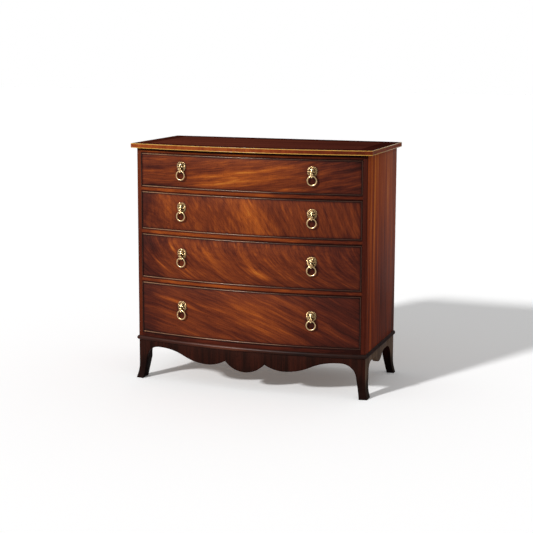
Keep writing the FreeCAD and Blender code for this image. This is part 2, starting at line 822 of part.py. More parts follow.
# Drawers: a bowed front with cockbeading, dovetailed linings and a bottom held in grooves.
drawer_half = f"({case_half} - size.drawer_side_gap)"
lining_half = f"({drawer_half} - size.lining_thickness)"
front_inner_radius = f"({bow_radius} - size.front_thickness)"
tail_end = f"({bow_y(bow_radius, drawer_half)} + size.dovetail_lap)"
tail_root = bow_y(front_inner_radius, drawer_half)
drawer_rear = f"({back_inner} - size.rear_clearance)"
back_front = f"({drawer_rear} - size.lining_thickness)"
bead_half = "(size.bead_width / 2)"
bead_inner_radius = f"({bow_radius} - size.bead_depth)"
nose_radius = f"({bow_radius} + size.bead_projection - {bead_half})"
bead_front = f"({apex_y} - 2 * size.bead_projection)"
bead_reach = f"({corner_y} + 2 * size.bead_depth - {bead_front})"
bead_nose = round_nose(bead_half, "90 deg", BEAD_FLATS)


def rail_bead(label, bottom, outer_edge, inner_edge):
    # A round-nosed strip along the bow, mitred at both ends.
    corners = [(bead_inner_radius, bottom)]
    corners += [(f"{nose_radius} + {out}", f"{bottom} + {bead_half} + {up}") for out, up in bead_nose]
    corners.append((bead_inner_radius, f"{bottom} + size.bead_width"))
    strip = turned(label + "_strip", corners, f"2 * asin({half_width} / {bow_radius})")
    short_half = f"({drawer_half} - size.bead_width)"
    mitres = prism(label + "_mitres", "XZ_Plane", [
        (minus(drawer_half), outer_edge),
        (drawer_half, outer_edge),
        (short_half, inner_edge),
        (minus(short_half), inner_edge),
    ], bead_front, bead_reach)
    return common(label, strip, mitres)


def upright_bead(label, bottom, top):
    middle_x = f"({drawer_half} - {bead_half})"
    short_half = f"({drawer_half} - size.bead_width)"
    nose_y = bow_y(nose_radius, middle_x)
    corners = [
        (drawer_half, bow_y(bead_inner_radius, drawer_half)),
        (short_half, bow_y(bead_inner_radius, short_half)),
    ]
    corners += [(f"{middle_x} + {across}", f"{nose_y} - {out}") for out, across in bead_nose]
    strip = prism(label + "_strip", "XY_Plane", corners, bottom, f"{top} - ({bottom})")
    mitres = prism(label + "_mitres", "XZ_Plane", [
        (drawer_half, bottom),
        (drawer_half, top),
        (short_half, f"{top} - size.bead_width"),
        (short_half, f"{bottom} + size.bead_width"),
    ], bead_front, bead_reach)
    return common(label, strip, mitres)


def dovetails(label, root, end, bottom, height, count):
    # A comb of tails in the side's thickness, wide at end, narrow at root, on a spine past the root.
    spine = f"(2 * ({root}) - ({end}))"
    corners = [(spine, bottom), (spine, f"{bottom} + {height}")]
    wide = f"({height} / {count} / 2 - size.pin_width / 2)"
    narrow = f"({wide} - abs({root} - ({end})) / size.dovetail_slope)"
    for tail in reversed(range(count)):
        tail_middle = f"({bottom} + {height} * {tail + 0.5} / {count})"
        corners.append((root, f"{tail_middle} + {narrow}"))
        corners.append((end, f"{tail_middle} + {wide}"))
        corners.append((end, f"{tail_middle} - {wide}"))
        corners.append((root, f"{tail_middle} - {narrow}"))
    return prism(label, "YZ_Plane", corners, lining_half, "size.lining_thickness")


for number, opening in DRAWERS.items():
    name = f"drawer_{number}"
    front_tails, back_tails = TAIL_COUNTS[number]
    bottom = f"({openings[number]} + size.drawer_seat_gap)"
    height = f"(size.{opening} - size.drawer_seat_gap - size.drawer_top_gap)"
    top = f"({bottom} + {height})"
    side_height = f"({height} - size.side_drop)"
    panel_bottom = f"({bottom} + size.bottom_rise)"
    panel_top = f"({panel_bottom} + size.bottom_thickness)"
    back_height = f"({top} - size.back_drop - {panel_top})"
    pull_height = f"({bottom} + {height} / 2 + size.pull_rise)"

    right_bead = upright_bead(f"{name}_bead_right", bottom, top)
    cockbead = group(
        f"{name}_cockbead",
        rail_bead(f"{name}_bead_lower", bottom, bottom, f"{bottom} + size.bead_width"),
        rail_bead(f"{name}_bead_upper", f"{top} - size.bead_width", top, f"{top} - size.bead_width"),
        right_bead,
        mirrored(f"{name}_bead_left", right_bead),
    )
    panel_half = f"({lining_half} + size.side_groove)"
    panel_radius = f"({front_inner_radius} + size.front_groove)"
    panel = prism(f"{name}_bottom", "XY_Plane", [
        (minus(panel_half), bow_y(panel_radius, panel_half), panel_radius, LEFT_TURN),
        (panel_half, bow_y(panel_radius, panel_half)),
        (panel_half, drawer_rear),
        (minus(panel_half), drawer_rear),
    ], panel_bottom, "size.bottom_thickness")

    front_comb = dovetails(f"{name}_front_tails", tail_root, tail_end, bottom, side_height, front_tails)
    back_comb = dovetails(f"{name}_back_tails", back_front, drawer_rear, panel_top, back_height, back_tails)
    hole = pull_piece(f"{name}_hole", stud_hole, pull_height)
    front = cut(
        f"{name}_front",
        bowed(
            f"{name}_front_board", minus(drawer_half), drawer_half,
            bow_radius, front_inner_radius, bottom, height,
        ),
        cockbead,
        front_comb,
        mirrored(f"{name}_front_tails_left", front_comb),
        panel,
        hole,
        mirrored(f"{name}_hole_left", hole),
    )
    back = cut(
        f"{name}_back",
        box(
            f"{name}_back_board", minus(drawer_half), back_front, panel_top,
            f"2 * {drawer_half}", "size.lining_thickness", back_height,
        ),
        back_comb,
        mirrored(f"{name}_back_tails_left", back_comb),
    )
    side = cut(
        f"{name}_side_right",
        box(
            f"{name}_side_board", lining_half, tail_end, bottom,
            "size.lining_thickness", f"{drawer_rear} - {tail_end}", side_height,
        ),
        front,
        back,
        panel,
    )
    mask_right = pull_piece(f"{name}_mask_right", mask, pull_height)
    nut_right = pull_piece(f"{name}_nut_right", nut, pull_height)
    ring_right = pull_piece(f"{name}_ring_right", ring, pull_height)
    sub_part(front)
    sub_part(cockbead)
    sub_part(group(f"{name}_sides", side, mirrored(f"{name}_side_left", side)))
    sub_part(back)
    sub_part(panel)
    sub_part(group(f"{name}_masks", mask_right, mirrored(f"{name}_mask_left", mask_right)))
    sub_part(group(f"{name}_pull_nuts", nut_right, mirrored(f"{name}_nut_left", nut_right)))
    sub_part(ring_right)
    sub_part(mirrored(f"{name}_ring_left", ring_right))

# Drawer stops on the rails, just behind the fronts.
stop_radius = f"({front_inner_radius} - size.stop_gap)"
stops = []
for number in openings:
    stop = bowed(
        f"stop_{number}_right",
        "size.stop_spacing / 2 - size.stop_length / 2", "size.stop_spacing / 2 + size.stop_length / 2",
        stop_radius, f"{stop_radius} - size.stop_depth", openings[number], "size.stop_height",
    )
    stops.append(stop)
    stops.append(mirrored(f"stop_{number}_left", stop))
sub_part(group("drawer_stops", *stops))

doc.recompute()
failed = [item.Label for item in doc.Objects if "Invalid" in item.State or "Error" in item.State]
if failed:
    raise RuntimeError("failed: " + ", ".join(failed))
for part in sub_parts:
    if part.Shape.isNull() or not part.Shape.isValid() or not part.Shape.Solids:
        raise RuntimeError("bad shape: " + part.Label)

os.makedirs("parts", exist_ok=True)
for part in sub_parts:
    part.Shape.exportStep(f"parts/{part.Label}.step")
    print(part.Label, len(part.Shape.Solids), "solids", round(part.Shape.Volume), "mm3", flush=True)
print(len(sub_parts), "nodes", flush=True)
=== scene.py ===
import json
import math

import bpy
from mathutils import Matrix, Vector

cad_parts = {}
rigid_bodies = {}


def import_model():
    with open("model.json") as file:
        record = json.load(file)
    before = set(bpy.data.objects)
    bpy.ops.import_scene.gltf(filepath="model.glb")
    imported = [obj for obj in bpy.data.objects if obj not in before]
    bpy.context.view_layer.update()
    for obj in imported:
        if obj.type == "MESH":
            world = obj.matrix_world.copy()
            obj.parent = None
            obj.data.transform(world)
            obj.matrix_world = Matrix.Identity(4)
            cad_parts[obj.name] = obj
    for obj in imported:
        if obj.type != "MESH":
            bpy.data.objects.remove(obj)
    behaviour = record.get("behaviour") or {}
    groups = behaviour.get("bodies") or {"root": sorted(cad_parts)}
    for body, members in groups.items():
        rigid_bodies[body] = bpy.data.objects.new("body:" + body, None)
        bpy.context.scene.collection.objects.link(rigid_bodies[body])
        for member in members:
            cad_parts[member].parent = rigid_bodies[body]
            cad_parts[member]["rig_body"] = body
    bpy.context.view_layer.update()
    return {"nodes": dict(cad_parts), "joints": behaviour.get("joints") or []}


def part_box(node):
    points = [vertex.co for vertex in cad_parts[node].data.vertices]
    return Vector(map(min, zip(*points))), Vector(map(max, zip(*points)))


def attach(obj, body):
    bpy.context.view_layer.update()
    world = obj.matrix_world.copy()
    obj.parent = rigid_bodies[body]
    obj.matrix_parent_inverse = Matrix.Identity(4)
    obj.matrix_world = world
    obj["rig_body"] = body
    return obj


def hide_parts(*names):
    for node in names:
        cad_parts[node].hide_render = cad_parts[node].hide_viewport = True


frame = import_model()
cadNodes = frame["nodes"]
cadJoints = {joint["name"]: joint for joint in frame["joints"]}
mm = 0.001
drawerNumbers = (1, 2, 3, 4)
print("frame loaded:", len(cadNodes), "nodes")

# The bow of the front: one arc about an upright axis behind the chest.
bow = {"halfWidth": 475 * mm, "depth": 51 * mm}
bow["radius"] = (bow["halfWidth"] ** 2 + bow["depth"] ** 2) / (2 * bow["depth"])
bow["axisY"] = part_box("bottom_rail")[0].y + bow["radius"]


def hexColour(code):
    channels = [int(code[start:start + 2], 16) / 255 for start in (1, 3, 5)]
    linear = [part / 12.92 if part <= 0.04045 else ((part + 0.055) / 1.055) ** 2.4 for part in channels]
    return (*linear, 1.0)


def addNode(material, kind, values=None, links=None, ramp=None, **settings):
    # one node with its settings, its own values, the sockets that feed it and any ramp stops
    tree = material.node_tree
    node = tree.nodes.new(kind)
    for name, setting in settings.items():
        setattr(node, name, setting)
    for name, value in (values or {}).items():
        node.inputs[name].default_value = value
    for name, socket in (links or {}).items():
        tree.links.new(socket, node.inputs[name])
    for index, (place, colour) in enumerate(ramp or ()):
        stops = node.color_ramp.elements
        stop = stops[index] if index < 2 else stops.new(place)
        stop.position = place
        stop.color = hexColour(colour)
    return node


def newMaterial(name, finish):
    # a shader with the finish's even values set straight on its sockets
    material = bpy.data.materials.new(name)
    material.use_nodes = True
    shader = material.node_tree.nodes["Principled BSDF"]
    for socket, value in finish.items():
        shader.inputs[socket].default_value = value
    return material, shader


def selectOnly(piece):
    bpy.ops.object.select_all(action="DESELECT")
    piece.select_set(True)
    bpy.context.view_layer.objects.active = piece


def editAll(piece):
    selectOnly(piece)
    bpy.ops.object.mode_set(mode="EDIT")
    bpy.ops.mesh.select_all(action="SELECT")


# Wood
# French-polished mahogany: a satin gloss over long streaks, short open pores and a slow change of tone.
polish = {"Roughness": 0.24, "Specular IOR Level": 0.08, "IOR": 1.5}
worn = {"Roughness": 0.45, "Specular IOR Level": 0.02, "IOR": 1.5}
rubbed = {"Roughness": 0.30, "Specular IOR Level": 0.12, "IOR": 1.5}
gloss = {"Roughness": 0.24, "Specular IOR Level": 0.3, "IOR": 1.5}
wax = {"Roughness": 0.62, "Specular IOR Level": 0.2, "IOR": 1.5}


def grainSpace(material, along):
    # object coordinates turned so that the grain runs along the pattern's Z
    turns = {"x": (0, -90, 0), "y": (90, 0, 0), "z": (0, 0, 0)}
    place = addNode(material, "ShaderNodeTexCoord")
    turned = addNode(
        material, "ShaderNodeMapping", {"Rotation": [math.radians(turn) for turn in turns[along]]},
        {"Vector": place.outputs["Object"]},
    )
    return turned.outputs["Vector"]


# the noise that all streaks are stretched from
streakNoise = {"Scale": 1.0, "Roughness": 0.55}


def woodStreaks(material, space, streak):
    # streaks of a width and a length in millimetres
    width, length = 1 / (streak["width"] * mm), 1 / (streak["length"] * mm)
    stretched = addNode(
        material, "ShaderNodeMapping",
        {"Scale": (width, width, length), "Location": (streak.get("shift", 0), 0, 0)}, {"Vector": space},
    )
    noise = addNode(
        material, "ShaderNodeTexNoise", {**streakNoise, "Detail": streak.get("detail", 2)},
        {"Vector": stretched.outputs["Vector"]},
    )
    return noise.outputs["Fac"]


def addFades(material, place, fades, total=None):
    # smooth changes of tone, each along one axis from one place to another
    axes = addNode(material, "ShaderNodeSeparateXYZ", links={0: place})
    for fade in fades:
        step = addNode(
            material, "ShaderNodeMapRange",
            {"From Min": fade["from"], "From Max": fade["to"], "To Max": fade["tone"]},
            {"Value": axes.outputs[fade["axis"]]}, interpolation_type="SMOOTHSTEP",
        ).outputs[0]
        total = step if total is None else addNode(
            material, "ShaderNodeMath", links={0: total, 1: step}, operation="ADD",
        ).outputs[0]
    return total


# open pores are darker than the wood and a little sunk
poreShade = {"ramp": ((0.30, "#9a9a9a"), (0.42, "#ffffff")), "strength": 0.12, "depth": 0.1 * mm}


def woodColour(material, shader, space, wood, tone=None):
    # streaks of several widths add up to a tone, the tone picks a colour, and pores darken it
    weights = sum(streak["weight"] for streak in wood["streaks"])
    start = wood["tone"] - weights / 2
    if tone is None:
        total = None
    else:
        total = addNode(material, "ShaderNodeMath", {1: start}, {0: tone}, operation="ADD").outputs[0]
    for streak in wood["streaks"]:
        values = {1: streak["weight"]}
        feeds = {0: woodStreaks(material, space, streak)}
        if total is None:
            values[2] = start
        else:
            feeds[2] = total
        total = addNode(material, "ShaderNodeMath", values, feeds, operation="MULTIPLY_ADD").outputs[0]
    colour = addNode(material, "ShaderNodeValToRGB", links={"Fac": total}, ramp=wood["ramp"])
    pores = addNode(
        material, "ShaderNodeValToRGB", links={"Fac": woodStreaks(material, space, wood["pores"])},
        ramp=poreShade["ramp"],
    )
    toned = addNode(
        material, "ShaderNodeMix", {0: 1.0}, {6: colour.outputs["Color"], 7: pores.outputs["Color"]},
        data_type="RGBA", blend_type="MULTIPLY",
    )
    bump = addNode(
        material, "ShaderNodeBump", {"Strength": poreShade["strength"], "Distance": poreShade["depth"]},
        {"Height": pores.outputs["Color"]},
    )
    links = material.node_tree.links
    links.new(toned.outputs[2], shader.inputs["Base Color"])
    links.new(bump.outputs["Normal"], shader.inputs["Normal"])
    return toned.outputs[2]


mahoganyRamp = (
    (0.0, "#240f0c"), (0.26, "#471c12"), (0.48, "#6c3017"), (0.70, "#974a1b"), (1.0, "#c87d30"),
)
# pores are drawn wider than they are, so that they still show as fine dark lines
mahoganyPores = {"width": 0.5, "length": 9, "detail": 1}

# Straight-grained wood
# Streaks and pores are in millimetres, fades in metres.
straightWood = {
    # sides: upright streaks of quartered mahogany, lighter near the top; the darkening low down and towards
    # the back is painted shade
    "mahoganySide": {
        "along": "z", "finish": worn, "tone": 0.63, "pores": mahoganyPores,
        "ramp": ((0.0, "#3e140a"), (0.3, "#702911"), (0.65, "#a64713"), (1.0, "#d47628")),
        "streaks": (
            {"width": 34, "length": 900, "weight": 0.9},
            {"width": 12, "length": 420, "weight": 1.1, "detail": 3},
            {"width": 2.4, "length": 120, "weight": 0.4},
        ),
        "fades": (
            {"axis": "Z", "from": 0.85, "to": 0.25, "tone": -0.34},
            {"axis": "Y", "from": 0.12, "to": 0.25, "tone": -0.12},
        ),
    },
    # front edges of the sides, darker towards the right as painted shade
    "mahoganyStile": {
        "along": "z", "finish": worn, "tone": 0.33, "ramp": mahoganyRamp, "pores": mahoganyPores,
        "streaks": ({"width": 20, "length": 300, "weight": 0.3}, {"width": 4, "length": 200, "weight": 0.25}),
        "fades": ({"axis": "X", "from": -0.2, "to": 0.2, "tone": -0.12},),
    },
    # edge band of the top: short cross-grained pieces, reddish, darker towards the right as painted shade
    "mahoganyEdgeBand": {
        "along": "z", "finish": worn, "tone": 0.48, "pores": mahoganyPores,
        "ramp": ((0.0, "#4a1a0f"), (0.35, "#7a3319"), (0.65, "#a05223"), (1.0, "#c07a3a")),
        "streaks": (
            {"width": 45, "length": 300, "weight": 0.45},
            {"width": 7, "length": 300, "weight": 0.35, "detail": 3},
        ),
        "fades": ({"axis": "X", "from": -0.05, "to": 0.46, "tone": -0.4},),
    },
    # beads round the drawers: pale along the left and middle as a painted highlight, darker towards the right
    # as painted shade, and dark along the left end
    "beadPaintedHighlight": {
        "along": "x", "finish": gloss, "tone": 0.62, "pores": mahoganyPores,
        "ramp": ((0.0, "#1d0f0b"), (0.4, "#4a2b1d"), (0.7, "#91694c"), (1.0, "#b8926e")),
        "streaks": ({"width": 60, "length": 160, "weight": 0.5}, {"width": 3, "length": 120, "weight": 0.2}),
        "fades": (
            {"axis": "X", "from": -0.447, "to": -0.453, "tone": -0.5},
            {"axis": "X", "from": -0.05, "to": 0.3, "tone": -0.4},
        ),
    },
    # nose of the front base moulding: a lighter brown strip as a painted highlight, darker towards both ends
    # as painted shade, most at the right end
    "mouldingPaintedHighlight": {
        "along": "x", "finish": rubbed, "tone": 0.48, "pores": mahoganyPores,
        "ramp": ((0.0, "#180c09"), (0.4, "#3d1c12"), (0.7, "#6f3d2a"), (1.0, "#96664f")),
        "streaks": ({"width": 60, "length": 200, "weight": 0.5}, {"width": 3, "length": 120, "weight": 0.2}),
        "fades": (
            {"axis": "X", "from": -0.2, "to": -0.46, "tone": -0.22},
            {"axis": "X", "from": -0.08, "to": 0.25, "tone": -0.42},
        ),
    },
    # apron and feet: stained nearly black, with upright grain, and darker still at the toes as painted shade
    # near the floor
    "mahoganyBase": {
        "along": "z", "finish": worn, "tone": 0.43, "pores": mahoganyPores,
        "ramp": ((0.0, "#0e0706"), (0.35, "#20100c"), (0.65, "#3c1b13"), (1.0, "#6a3322")),
        "streaks": (
            {"width": 24, "length": 260, "weight": 0.5},
            {"width": 5, "length": 160, "weight": 0.35, "detail": 3},
        ),
        "fades": ({"axis": "Z", "from": 0.11, "to": 0.03, "tone": -0.24},),
    },
    # sides of the base: a lighter greyish brown as a painted sheen where the light grazes them, darker at the
    # toes as painted shade
    "baseSidePaintedSheen": {
        "along": "z", "finish": worn, "tone": 0.56, "pores": mahoganyPores,
        "ramp": ((0.0, "#150d0a"), (0.35, "#3d2c23"), (0.65, "#715a49"), (1.0, "#957d69")),
        "streaks": (
            {"width": 24, "length": 260, "weight": 0.5},
            {"width": 5, "length": 160, "weight": 0.35, "detail": 3},
        ),
        "fades": ({"axis": "Z", "from": 0.10, "to": 0.03, "tone": -0.4},),
    },
    # wood of the drawer fronts behind the veneer
    "mahoganyCore": {
        "along": "x", "finish": wax, "tone": 0.46, "pores": mahoganyPores,
        "ramp": ((0.0, "#4b2415"), (0.5, "#75402a"), (1.0, "#9a6140")),
        "streaks": ({"width": 18, "length": 320, "weight": 0.5}, {"width": 3, "length": 140, "weight": 0.3}),
    },
    # golden lines inlaid along the top's edges
    "satinwoodStringing": {
        "along": "x", "finish": gloss, "tone": 0.5, "pores": mahoganyPores,
        "ramp": ((0.0, "#a3702c"), (0.5, "#c9963f"), (1.0, "#e8c06a")),
        "streaks": ({"width": 60, "length": 120, "weight": 0.6}, {"width": 2, "length": 60, "weight": 0.3}),
    },
}
# the same band along the sides of the top, an even brown without the front's painted shade
straightWood["mahoganyEdgeSide"] = {**straightWood["mahoganyEdgeBand"], "tone": 0.42, "fades": ()}
# Rails: long-grained strips, darker at the right end as painted shade and darker low down, with painted shade
# along their edges beside the beads and a painted shadow under the top's overhang.
railNames = ("top_rail_front", "divider_1_rail", "divider_2_rail", "divider_3_rail", "bottom_rail")
# painted shade along the rails' edges beside the beads, and the painted shadow under the top's overhang
beadShadeOnRails = {"width": 7 * mm, "full": 0.0, "tone": -0.44}
overhangShadow = {"width": 11 * mm, "full": 5 * mm, "tone": -0.9}
railWood = {
    "along": "x", "finish": worn, "tone": 0.55, "ramp": mahoganyRamp, "pores": mahoganyPores,
    "streaks": (
        {"width": 60, "length": 180, "weight": 0.6}, {"width": 5, "length": 220, "weight": 0.4, "detail": 3},
        {"width": 1.6, "length": 80, "weight": 0.2},
    ),
    "fades": (
        {"axis": "X", "from": -0.32, "to": -0.46, "tone": -0.12},
        {"axis": "X", "from": 0.08, "to": 0.44, "tone": -0.26},
        {"axis": "Z", "from": 0.36, "to": 0.2, "tone": -0.34},
    ),
}
for railName in railNames:
    low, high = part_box(railName)
    # painted shade along the lower edge; along the upper edge the same, or the painted shadow under the
    # overhang on the top rail
    upper = overhangShadow if railName == "top_rail_front" else beadShadeOnRails
    edges = (
        {"axis": "Z", "from": low.z + beadShadeOnRails["width"], "to": low.z, "tone": beadShadeOnRails["tone"]},
        {"axis": "Z", "from": high.z - upper["width"], "to": high.z - upper["full"], "tone": upper["tone"]},
    )
    straightWood[f"mahogany_{railName}"] = {**railWood, "fades": railWood["fades"] + edges}
oakRamp = ((0.0, "#74502f"), (0.4, "#9e7248"), (0.7, "#bb8e60"), (1.0, "#d4b083"))
for axis in "xyz":
    # oak linings: pale, waxed, with long dark pores
    straightWood[f"oakAlong{axis.upper()}"] = {
        "along": axis, "finish": wax, "tone": 0.5, "ramp": oakRamp,
        "pores": {"width": 1.1, "length": 26, "detail": 1},
        "streaks": (
            {"width": 40, "length": 700, "weight": 0.35},
            {"width": 7, "length": 400, "weight": 0.35, "detail": 3},
            {"width": 2, "length": 90, "weight": 0.15},
        ),
    }
finishes = {}
for woodName, wood in straightWood.items():
    finishes[woodName], woodShader = newMaterial(woodName, wood["finish"])
    woodPlace = addNode(finishes[woodName], "ShaderNodeTexCoord").outputs["Object"]
    woodTone = addFades(finishes[woodName], woodPlace, wood.get("fades", ()))
    woodColour(finishes[woodName], woodShader, grainSpace(finishes[woodName], wood["along"]), wood, woodTone)
print("straight-grained woods:", len(finishes))

# Figured veneers
# Each drawer's streaks follow curves: across = main + (slope + curve * other) * other, where main and other
# are the drawer's height and width, or the other way round, measured from its middle or its top. Glows are
# lighter or darker patches along those curves, in metres.
veneerStreaks = (
    {"width": 30, "length": 260, "weight": 0.45, "detail": 2},
    {"width": 9, "length": 130, "weight": 0.50, "detail": 3},
    {"width": 3, "length": 60, "weight": 0.34, "detail": 2},
)
veneerMottle = {"width": 18, "length": 36, "detail": 4}
# broaden and shorten change those sizes where a drawer's streaks lean or break up into tongues, lines makes
# them stronger or weaker, and mottle is the weight of short cloudy marks among them
veneers = {
    # streaks rising to the right, with one bright band across the middle and an orange pool under it
    1: {
        "main": "Z", "other": "X", "from": "middle", "slope": -0.134, "curve": -0.113, "wave": 0.012,
        "ends": (0.08, 0.23), "tone": 0.48, "shift": 3.1,
        "broaden": 1.0, "shorten": 1.0, "lines": 1.2, "mottle": 0.24,
        "glows": (
            {"across": 0.012, "along": -0.02, "halfWidth": 0.012, "halfLength": 0.40, "tone": 0.30},
            {"across": -0.016, "along": -0.03, "halfWidth": 0.034, "halfLength": 0.26, "tone": 0.20},
            {"across": -0.02, "along": -0.36, "halfWidth": 0.03, "halfLength": 0.13, "tone": -0.18},
        ),
    },
    # diagonal streaks at the left that steepen into a feathered plume in the middle
    2: {
        "main": "Z", "other": "X", "from": "middle", "slope": 1.5, "curve": 1.25, "wave": 0.07,
        "ends": (0.18, 0.12), "tone": 0.45, "shift": 7.7,
        "broaden": 2.2, "shorten": 0.35, "lines": 0.7, "mottle": 0.42,
        "glows": (
            {"across": 0.06, "along": 0.02, "halfWidth": 0.24, "halfLength": 0.15, "tone": 0.20},
            {"across": -0.30, "along": -0.36, "halfWidth": 0.07, "halfLength": 0.09, "tone": 0.16},
        ),
    },
    # flames that hang from the top and sweep down to the right
    3: {
        "main": "X", "other": "Z", "from": "top", "slope": 0.0, "curve": -6.2, "wave": 0.03,
        "ends": (0.25, 0.15), "tone": 0.44, "shift": 1.3,
        "broaden": 1.5, "shorten": 0.45, "lines": 1.0, "mottle": 0.26,
        "glows": (
            {"across": -0.435, "along": -0.115, "halfWidth": 0.016, "halfLength": 0.05, "tone": 0.26},
            {"across": -0.315, "along": -0.045, "halfWidth": 0.014, "halfLength": 0.035, "tone": 0.24},
            {"across": -0.165, "along": -0.075, "halfWidth": 0.04, "halfLength": 0.075, "tone": 0.26},
            {"across": -0.03, "along": -0.125, "halfWidth": 0.06, "halfLength": 0.035, "tone": 0.26},
        ),
    },
    # streaks falling to the right, steeper at the right end
    4: {
        "main": "Z", "other": "X", "from": "middle", "slope": 0.36, "curve": 0.23, "wave": 0.02,
        "ends": (0.16, 0.23), "tone": 0.42, "shift": 5.9,
        "broaden": 1.0, "shorten": 1.0, "lines": 1.0, "mottle": 0.12,
        "glows": (
            {"across": 0.02, "along": 0.03, "halfWidth": 0.09, "halfLength": 0.28, "tone": 0.14},
            {"across": -0.042, "along": -0.28, "halfWidth": 0.014, "halfLength": 0.15, "tone": 0.24},
        ),
    },
}
veneerShade = {
    "leftWidth": 150 * mm, "rightWidth": 360 * mm, "wave": {"Scale": 1 / (160 * mm), "Detail": 2.0},
    # a broad soft rim, and a dark line beside the bead, both painted shade in the corner against the bead
    "beadShadeRims": ({"from": 16 * mm, "to": 3 * mm, "tone": -0.10}, {"from": 8 * mm, "to": 3.2 * mm, "tone": -0.30}),
    # painted shadow of the masks and rings, round each pull
    "pullShadow": {"halfWidth": 32 * mm, "halfLength": 50 * mm, "core": 0.5, "tone": -0.16},
}


def addPatches(material, space, patches, total):
    # round patches of lighter or darker tone, even out to their core and then fading
    for patch in patches:
        reach = (1 / patch["halfWidth"], 0, 1 / patch["halfLength"])
        centred = addNode(
            material, "ShaderNodeMapping",
            {"Scale": reach, "Location": (-patch["across"] * reach[0], 0, -patch["along"] * reach[2])},
            {"Vector": space},
        )
        away = addNode(material, "ShaderNodeVectorMath", links={0: centred.outputs[0]}, operation="LENGTH")
        light = addNode(
            material, "ShaderNodeMapRange",
            {"From Min": 1.0, "From Max": patch.get("core", 0.0), "To Max": patch["tone"]},
            {"Value": away.outputs["Value"]}, interpolation_type="SMOOTHSTEP",
        )
        total = addNode(
            material, "ShaderNodeMath", links={0: total, 1: light.outputs[0]}, operation="ADD",
        ).outputs[0]
    return total


def veneerMaterial(number, veneer):
    material, shader = newMaterial(f"mahoganyVeneer{number}", polish)
    low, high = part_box(f"drawer_{number}_front")
    level = high.z if veneer["from"] == "top" else (low.z + high.z) / 2
    place = addNode(material, "ShaderNodeTexCoord")
    moved = addNode(
        material, "ShaderNodeMapping", {"Location": (0, 0, -level)}, {"Vector": place.outputs["Object"]},
    )
    axes = addNode(material, "ShaderNodeSeparateXYZ", links={0: moved.outputs["Vector"]})
    main, other = axes.outputs[veneer["main"]], axes.outputs[veneer["other"]]
    # slow waves bend the streaks
    wave = addNode(
        material, "ShaderNodeTexNoise", veneerShade["wave"], {"Vector": moved.outputs["Vector"]},
    )
    lean = addNode(
        material, "ShaderNodeMath", {1: veneer["curve"], 2: veneer["slope"]}, {0: other},
        operation="MULTIPLY_ADD",
    )
    bent = addNode(
        material, "ShaderNodeMath", links={0: lean.outputs[0], 1: other, 2: main}, operation="MULTIPLY_ADD",
    )
    across = addNode(
        material, "ShaderNodeMath", {1: veneer["wave"]}, {0: wave.outputs["Fac"], 2: bent.outputs[0]},
        operation="MULTIPLY_ADD",
    )
    space = addNode(
        material, "ShaderNodeCombineXYZ", {"Y": veneer["shift"]}, {"X": across.outputs[0], "Z": other},
    )
    # darker towards both ends, partly toned edges and partly painted shade, most at the right end, and along
    # the rim as painted shade beside the bead
    bottom, top = low.z - level, high.z - level
    fades = [
        {"axis": "X", "from": low.x + veneerShade["leftWidth"], "to": low.x, "tone": -veneer["ends"][0]},
        {"axis": "X", "from": high.x - veneerShade["rightWidth"], "to": high.x, "tone": -veneer["ends"][1]},
    ]
    for rim in veneerShade["beadShadeRims"]:
        for axis, edge, inwards in (("X", low.x, 1), ("X", high.x, -1), ("Z", bottom, 1), ("Z", top, -1)):
            fades.append({
                "axis": axis, "from": edge + inwards * rim["from"], "to": edge + inwards * rim["to"],
                "tone": rim["tone"],
            })
    tone = addFades(material, moved.outputs["Vector"], fades)
    tone = addPatches(material, space.outputs[0], veneer["glows"], tone)
    # painted shadow of the masks and rings round each pull
    pivots = [cadJoints[f"drawer_{number}_ring_{hand}_swing"]["pos_m"] for hand in ("left", "right")]
    pullShadowPatches = [{**veneerShade["pullShadow"], "across": x, "along": z - level} for x, y, z in pivots]
    tone = addPatches(material, moved.outputs["Vector"], pullShadowPatches, tone)
    streaks = [{**streak, "weight": streak["weight"] * veneer["lines"]} for streak in veneerStreaks]
    streaks.append({**veneerMottle, "weight": veneer["mottle"]})
    for streak in streaks:
        streak["width"] *= veneer["broaden"]
        streak["length"] *= veneer["shorten"]
    wood = {"tone": veneer["tone"], "ramp": mahoganyRamp, "pores": mahoganyPores, "streaks": streaks}
    woodColour(material, shader, space.outputs[0], wood, tone)
    return material


for number, veneer in veneers.items():
    finishes[f"veneer{number}"] = veneerMaterial(number, veneer)
print("drawer veneers:", len(veneers))

# Top
# Field of long-grained mahogany inside a darker cross-banded border.
topVeneer = {
    "border": 60 * mm, "borderShade": "#c4b6b6",
    "finish": {"Roughness": 0.4, "Specular IOR Level": 0.0, "IOR": 1.5},
    "fades": ({"axis": "X", "from": -0.2, "to": 0.45, "tone": -0.16},),
    "wood": {
        "tone": 0.5, "pores": mahoganyPores,
        "ramp": ((0.0, "#2e1411"), (0.35, "#4a2119"), (0.65, "#633022"), (1.0, "#84462e")),
        "streaks": (
            {"width": 40, "length": 700, "weight": 0.45},
            {"width": 10, "length": 420, "weight": 0.35, "detail": 3},
            {"width": 3, "length": 160, "weight": 0.18},
        ),
    },
}


